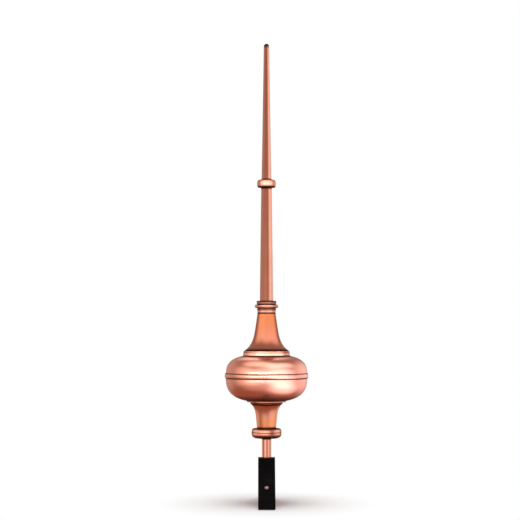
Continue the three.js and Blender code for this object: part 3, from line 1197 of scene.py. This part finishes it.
    def drilled(self, strap: bpy.types.Object) -> bpy.types.Object:
        """Cuts both screw holes through the strap and leaves no modifier behind."""
        for side in (-1, 1):
            middle, axes = self.screw_place(side)
            depth = 2.0 * self.thickness
            points, faces = turned(joined([[self.hole, -depth], [self.hole, depth]]), 0.0, CURVE_POINTS)
            cutter = new_mesh("hole_cutter", middle + points @ axes, faces)
            cut = strap.modifiers.new("hole", "BOOLEAN")
            cut.operation, cut.solver, cut.object = "DIFFERENCE", "EXACT", cutter
            ready = strap.evaluated_get(bpy.context.evaluated_depsgraph_get())
            mesh = bpy.data.meshes.new_from_object(ready)
            strap.modifiers.clear()
            strap.data = mesh
            bpy.data.objects.remove(cutter)
        strap.data.shade_smooth()
        strap.data.set_sharp_from_angle(angle=STRAP_CREASE)
        return strap

    def build(self) -> None:
        """Makes the strap and its two screws."""
        points, faces = self.strap()
        strap = self.drilled(new_mesh("roof_saddle_painted", points, faces))
        dress(strap, "roof_saddle", BlackPaint())
        for node, side in (("saddle_screw_front", -1), ("saddle_screw_back", 1)):
            Screw().build(node, *self.screw_place(side))


@dataclass
class Screw:
    """A pan-head screw with a cross recess.

    Attributes:
        clearance: Gap between the head and the strap.
        shank: Radius of the shank.
        shank_depth: How far the shank reaches below the strap's face.
        head: Radius of the head.
        head_edge: Height of the head's straight side.
        dome: Height of its dome.
        rim: Radius of the rounding at the foot of the head.
        recess_length: Length of each slot of the cross.
        recess_width: Width of each slot.
        recess_depth: Depth of the cross below the dome's top.
        recess_wall: Width over which its walls slant down.
        dome_end: Angle from the axis at which the dome's outline ends, in radians.
        dome_points: Rings over the dome.
        sides: Points round the screw.
    """

    clearance: float = 0.0003
    shank: float = 0.003
    shank_depth: float = 0.0037
    head: float = 0.0055
    head_edge: float = 0.0012
    dome: float = 0.0028
    rim: float = 0.0003
    recess_length: float = 0.0056
    recess_width: float = 0.0012
    recess_depth: float = 0.0018
    recess_wall: float = 0.0002
    dome_end: float = 0.02
    dome_points: int = 90
    sides: int = 144

    def skin(self) -> Skin:
        """The whole screw, standing on the strap's face with its head upwards.

        The dome is an ellipse, h = edge + dome cos t at radius head sin t. The cross is sunk into it: a
        point inside either slot, by more than the slant of the walls, drops to the recess floor.

        Returns:
            The points and the faces.
        """
        base = self.clearance
        shoulder = base + self.head_edge
        shank = [[self.shank, -self.shank_depth], [self.shank, base]]
        under = softened(joined(shank, [[self.head, base], [self.head, shoulder]]), self.rim)
        t = spaced(math.pi / 2, self.dome_end, self.dome_points)[1:]
        dome = np.column_stack([self.head * np.sin(t), shoulder + self.dome * np.cos(t)])
        points, faces = turned(joined(under, dome), 0.0, self.sides)
        x, y = np.abs(points[:, 0]), np.abs(points[:, 1])
        long_in, short_in = self.recess_length / 2, self.recess_width / 2
        inside = np.maximum(np.minimum(long_in - x, short_in - y), np.minimum(short_in - x, long_in - y))
        share = np.clip(inside / self.recess_wall, 0.0, 1.0)
        floor = shoulder + self.dome - self.recess_depth
        on_dome = points[:, 2] > shoulder
        lowered = points[:, 2] + share * (floor - points[:, 2])
        points[:, 2] = np.where(on_dome & (points[:, 2] > floor), lowered, points[:, 2])
        return points, faces

    def build(self, node: str, middle: np.ndarray, axes: np.ndarray) -> None:
        """Makes one screw at a hole's middle, with axes as rows along X, down the leg and out of it.

        Args:
            node: The node of the frame that it replaces.
            middle: Middle of the hole on the strap's face.
            axes: The three rows.
        """
        points, faces = self.skin()
        screw = new_mesh(f"{node}_zinc", middle + points @ axes, faces, SCREW_CREASE)
        dress(screw, node, ZincPlate())


# The studio


class Lit(Enum):
    """Groups of pieces that are lit alike, by how the names of their meshes begin."""

    SPIRE = ("spire_point", "spire_shaft")
    COLLAR = ("spire_collar",)
    MOULDING = ("neck_moulding",)
    BELL = ("bell_polished",)
    RING = ("bell_ring",)
    BALL = ("ball_",)
    CUP = ("cup",)
    BEAD = ("foot_bead",)
    ROD = ("mounting_rod",)
    STRAP = ("roof_saddle",)
    SCREWS = ("saddle_screw",)
    FLOOR = ("pale_floor",)


@dataclass(frozen=True)
class Softbox:
    """One large soft light, aimed at the middle of the finial.

    Attributes:
        name: Its place in its group.
        azimuth: Direction it stands in, in degrees to the right of the camera.
        elevation: Its height above the horizon, in degrees.
        width: Its width.
        height: Its height.
        radiance: How bright its face is.
        tint: Its colour.
    """

    name: str
    azimuth: float
    elevation: float
    width: float
    height: float
    radiance: float
    tint: Colour = (1.0, 0.96, 0.92)


WARM = (1.0, 0.68, 0.52)
PEACH = (1.0, 0.86, 0.76)
COOL = (0.85, 0.97, 1.0)
PINK = (1.0, 0.93, 0.97)
WHITE = (1.0, 1.0, 1.0)

SOFTBOXES = {
    Lit.SPIRE: (
        Softbox("right", 72, 12, 3.8, 4.4, 0.94),
        Softbox("front", -15, -9, 5, 2.4, 0.4, WARM),
        Softbox("left", -85, 12, 4.4, 4.4, 0.18, COOL),
        Softbox("back_left", -140, 12, 3, 4.4, 0.25, COOL),
        Softbox("back_right", 130, 12, 4, 4.4, 0.7, COOL),
    ),
    Lit.COLLAR: (
        Softbox("left", -45, 12, 5, 3, 1.5),
        Softbox("front", 0, 12, 5, 3.4, 1.65),
        Softbox("right", 45, 12, 5, 3, 1.5),
        Softbox("back_left", -120, 12, 4, 3, 0.2),
        Softbox("back_right", 120, 12, 4, 3, 0.5),
    ),
    Lit.MOULDING: (
        Softbox("left", -42, 10, 6, 3.4, 1.1),
        Softbox("right", 42, 10, 6, 3.4, 1.2),
        Softbox("top", 0, 50, 6, 2.4, 1.8),
        Softbox("low", 0, -36, 6, 2.6, 0.8, PEACH),
        Softbox("back_left", -125, 10, 5, 3.4, 0.4),
        Softbox("back_right", 125, 10, 5, 3.4, 0.5),
    ),
    Lit.BELL: (
        Softbox("left", -66, 17, 5, 2.8, 0.85, WARM),
        Softbox("front", 0, 26, 5, 3.4, 0.85, WARM),
        Softbox("right", 72, 22, 5.4, 3, 0.85, WARM),
        Softbox("back", 180, 26, 5, 3.4, 0.1),
    ),
    Lit.RING: (
        Softbox("left", -60, 0, 5, 3, 1.75),
        Softbox("front", -12, 0, 5, 3, 3),
        Softbox("right", 55, 0, 5, 3, 2.5),
        Softbox("back_left", -120, 0, 4, 3, 0.5, PEACH),
        Softbox("back_right", 130, 0, 4, 3, 0.6, PEACH),
    ),
    Lit.BALL: (
        Softbox("right", 46, -9, 4.8, 3.2, 2, PINK),
        Softbox("band", 16, 20, 5.8, 2.4, 0.85),
        Softbox("line", -16, -2.5, 5.8, 0.5, 8, COOL),
        Softbox("left", -62, 6, 4.6, 3.2, 0.9, PEACH),
        Softbox("over_left", -42, 66, 4.2, 3, 1.6, PEACH),
        Softbox("over_right", 50, 48, 4.6, 2.4, 1.7, PINK),
        Softbox("over_back", -176, 46, 1.8, 2, 1.5),
        Softbox("low_left", -34, -10, 5, 1.4, 0.2, WARM),
        Softbox("low", -20, -34, 6.4, 2.4, 0.38, PEACH),
        Softbox("low_right", 60, -44, 4.6, 3, 1.6, PINK),
        Softbox("back_left", -135, 5, 4.4, 4, 0.32),
        Softbox("back_right", 122, 0, 4.8, 4.4, 0.9, PINK),
    ),
    Lit.CUP: (
        Softbox("front", -15, -2, 7, 2.4, 1.2, PEACH),
        Softbox("right", 62, -13, 5, 3, 0.85, PEACH),
        Softbox("back_left", -115, -2, 5, 2.6, 0.6, PEACH),
        Softbox("back_right", 130, -5, 5, 3.4, 0.6, PEACH),
    ),
    Lit.BEAD: (
        Softbox("front", -15, 8, 6.4, 3.6, 1.4, PEACH),
        Softbox("left", -90, 5, 5, 3.6, 0.8),
        Softbox("right", 95, 5, 5, 3.6, 0.9),
    ),
    Lit.ROD: (
        Softbox("left", -30, 0, 3.4, 3, 1.3),
        Softbox("right", 52, 0, 3.4, 3, 1.1),
        Softbox("back_left", -125, 0, 4.4, 3, 0.6),
        Softbox("back_right", 125, 0, 4.4, 3, 0.6),
    ),
    Lit.STRAP: (
        Softbox("front", -20, 25, 2.6, 2, 1.3, COOL),
    ),
    Lit.SCREWS: (
        Softbox("over", 0, 72, 2.6, 2.6, 2.2, COOL),
    ),
    Lit.FLOOR: (
        Softbox("over", 0, 85, 3.4, 3.4, 5.6, COOL),
    ),
}


@dataclass
class Studio:
    """Pale floor, white surround, soft lights and the camera.

    Attributes:
        floor_radius: Radius of the floor.
        floor_near: Distance from the axis within which the floor takes the finial's shadow.
        floor_far: Distance beyond which the floor is as white as the surround.
        surround_radius: Radius of the white surround.
        floor_drop: How far the floor lies below the saddle's feet.
        floor_grey: Grey of the floor, and its roughness.
        floor_ring: Radius of its innermost ring of points.
        light_distance: How far the lights stand from the axis.
        aim_height: Height that the lights are aimed at.
        camera_distance: How far the camera stands in front of the axis.
        camera_height: The camera's height.
        camera_aside: The camera's place along the ridge.
        camera_pitch: How far the camera looks up, in degrees.
        lens: Its focal length, in millimetres.
        sensor: Width of its sensor, in millimetres.
        fill: Light that comes from all around above the horizon.
        under: Light that comes from below.
        under_reach: How far the fill reaches below the horizon, as the sine of the angle.
    """

    floor_radius: float = 6.0
    floor_near: float = 0.04
    floor_far: float = 0.26
    surround_radius: float = 14.0
    floor_drop: float = 0.0005
    floor_grey: float = 0.9
    floor_ring: float = 0.2
    light_distance: float = 2.6
    aim_height: float = 0.35
    camera_distance: float = 3.353
    camera_height: float = 0.312
    camera_aside: float = -0.01555
    camera_pitch: float = 2.764
    lens: float = 97.21
    sensor: float = 36.0
    fill: Colour = (0.3, 0.174, 0.138)
    under: Colour = (0.33, 0.115, 0.07)
    under_reach: float = 0.7

    def build(self) -> None:
        """Makes the whole studio around the finished pieces."""
        self.surround()
        self.floor()
        self.world()
        self.camera()
        for lit, softboxes in SOFTBOXES.items():
            for softbox in softboxes:
                self.light(lit, softbox)

    def surround(self) -> None:
        """A white ball around everything, which only the camera sees."""
        graph = Graph(bpy.data.materials.new("white_surround"))
        graph.node("ShaderNodeOutputMaterial", Surface=graph.glow(Color=WHITE))
        angle = np.radians(spaced(-89.0, 89.0))
        outline = self.surround_radius * np.column_stack([np.cos(angle), np.sin(angle)])
        ball = new_mesh("white_surround", *turned(outline, 0.0, CURVE_POINTS))
        ball.data.materials.append(graph.owner)
        for kind in ("diffuse", "glossy", "transmission", "volume_scatter", "shadow"):
            setattr(ball, f"visible_{kind}", False)

    def floor(self) -> None:
        """A pale round floor under the saddle's feet.

        It takes soft shadows near the axis, and fades out to plain white between floor_near and
        floor_far.
        """
        graph = Surface("pale_floor")
        grey = self.floor_grey
        graph.feed(graph.shader, Base_Color=(grey, grey, grey), Roughness=grey)
        away = graph.from_axis(graph.place()) - self.floor_near
        share = (away / (self.floor_far - self.floor_near)).clamped()
        feeds = {"in0": share, "in1": graph.shader.outputs[0], "in2": graph.glow(Color=WHITE)}
        graph.feed(graph.output, Surface=graph.node("ShaderNodeMixShader", **feeds).outputs[0])
        level = Span.of("roof_saddle").foot - self.floor_drop
        rings = swept(spaced(self.floor_ring, self.floor_radius)[:, None], np.array([[level]]), TURNED_SIDES)
        faces = grid_faces(CURVE_POINTS, TURNED_SIDES)[:, ::-1].tolist()
        faces += fan_faces(len(rings), 0, TURNED_SIDES, upward=True).tolist()
        floor = new_mesh("pale_floor", np.vstack([rings, [[0.0, 0.0, level]]]), faces)
        floor.data.materials.append(graph.owner)
        floor.visible_glossy = False
        floor.visible_shadow = False

    def world(self) -> None:
        """Warm dim light from all around, redder from below."""
        world = bpy.data.worlds.new("studio_fill")
        graph = Graph(world)
        up = graph.parts(graph.node("ShaderNodeTexCoord").outputs["Generated"])[2]
        share = ((up + self.under_reach) / self.under_reach).clamped()
        background = graph.node("ShaderNodeBackground", Color=graph.blend(share, self.under, self.fill))
        graph.node("ShaderNodeOutputWorld", Surface=background.outputs[0])
        bpy.context.scene.world = world
        bpy.context.scene.view_settings.view_transform = "Standard"

    def camera(self) -> None:
        """The camera at the photograph's place and angle."""
        data = bpy.data.cameras.new("photo_camera")
        data.sensor_width = self.sensor
        data.lens = self.lens
        camera = bpy.data.objects.new("photo_camera", data)
        camera.location = (self.camera_aside, -self.camera_distance, self.camera_height)
        camera.rotation_euler = (math.radians(90.0 + self.camera_pitch), 0.0, 0.0)
        bpy.context.scene.collection.objects.link(camera)
        bpy.context.scene.camera = camera

    def light(self, lit: Lit, softbox: Softbox) -> None:
        """Puts one softbox in its place, facing the finial, and lets it light its own group only.

        Its face is brightest in the middle and fades out to its edges as (1 - a^2) (1 - b^2), with a and
        b from -1 to 1 over its width and height.

        Args:
            lit: The group of pieces that it lights.
            softbox: The softbox.
        """
        name = f"{lit.name.lower()}_{softbox.name}"
        data = bpy.data.lights.new(name, "AREA")
        data.shape = "RECTANGLE"
        data.size, data.size_y = softbox.width, softbox.height
        data.energy = softbox.radiance * softbox.width * softbox.height * math.pi
        data.color = softbox.tint
        graph = Graph(data)
        face = graph.parts(graph.node("ShaderNodeNewGeometry").outputs["Parametric"])
        a, b = (part * 2.0 - 1.0 for part in face[:2])
        graph.node("ShaderNodeOutputLight", Surface=graph.glow(Strength=(1.0 - a * a) * (1.0 - b * b)))
        azimuth, elevation = math.radians(softbox.azimuth), math.radians(softbox.elevation)
        level = math.cos(elevation)
        out = np.array([math.sin(azimuth) * level, -math.cos(azimuth) * level, math.sin(elevation)])
        light = bpy.data.objects.new(name, data)
        light.location = self.light_distance * out + np.array([0.0, 0.0, self.aim_height])
        light.rotation_euler = (math.pi / 2 - elevation, 0.0, azimuth)
        light.visible_camera = False
        bpy.context.scene.collection.objects.link(light)
        receivers = bpy.data.collections.new(f"{name}_receivers")
        for piece in bpy.context.scene.objects:
            if piece.type == "MESH" and piece.name.startswith(lit.value):
                receivers.objects.link(piece)
        light.light_linking.receiver_collection = receivers


def main() -> None:
    """Builds the finial from the ground up, and the studio around it."""
    logging.basicConfig(level=logging.INFO, format="%(name)s: %(message)s")
    Saddle().build()
    Foot().build()
    Ball().build()
    Bell().build()
    Spire().build()
    Studio().build()


if __name__ == "__main__":
    main()
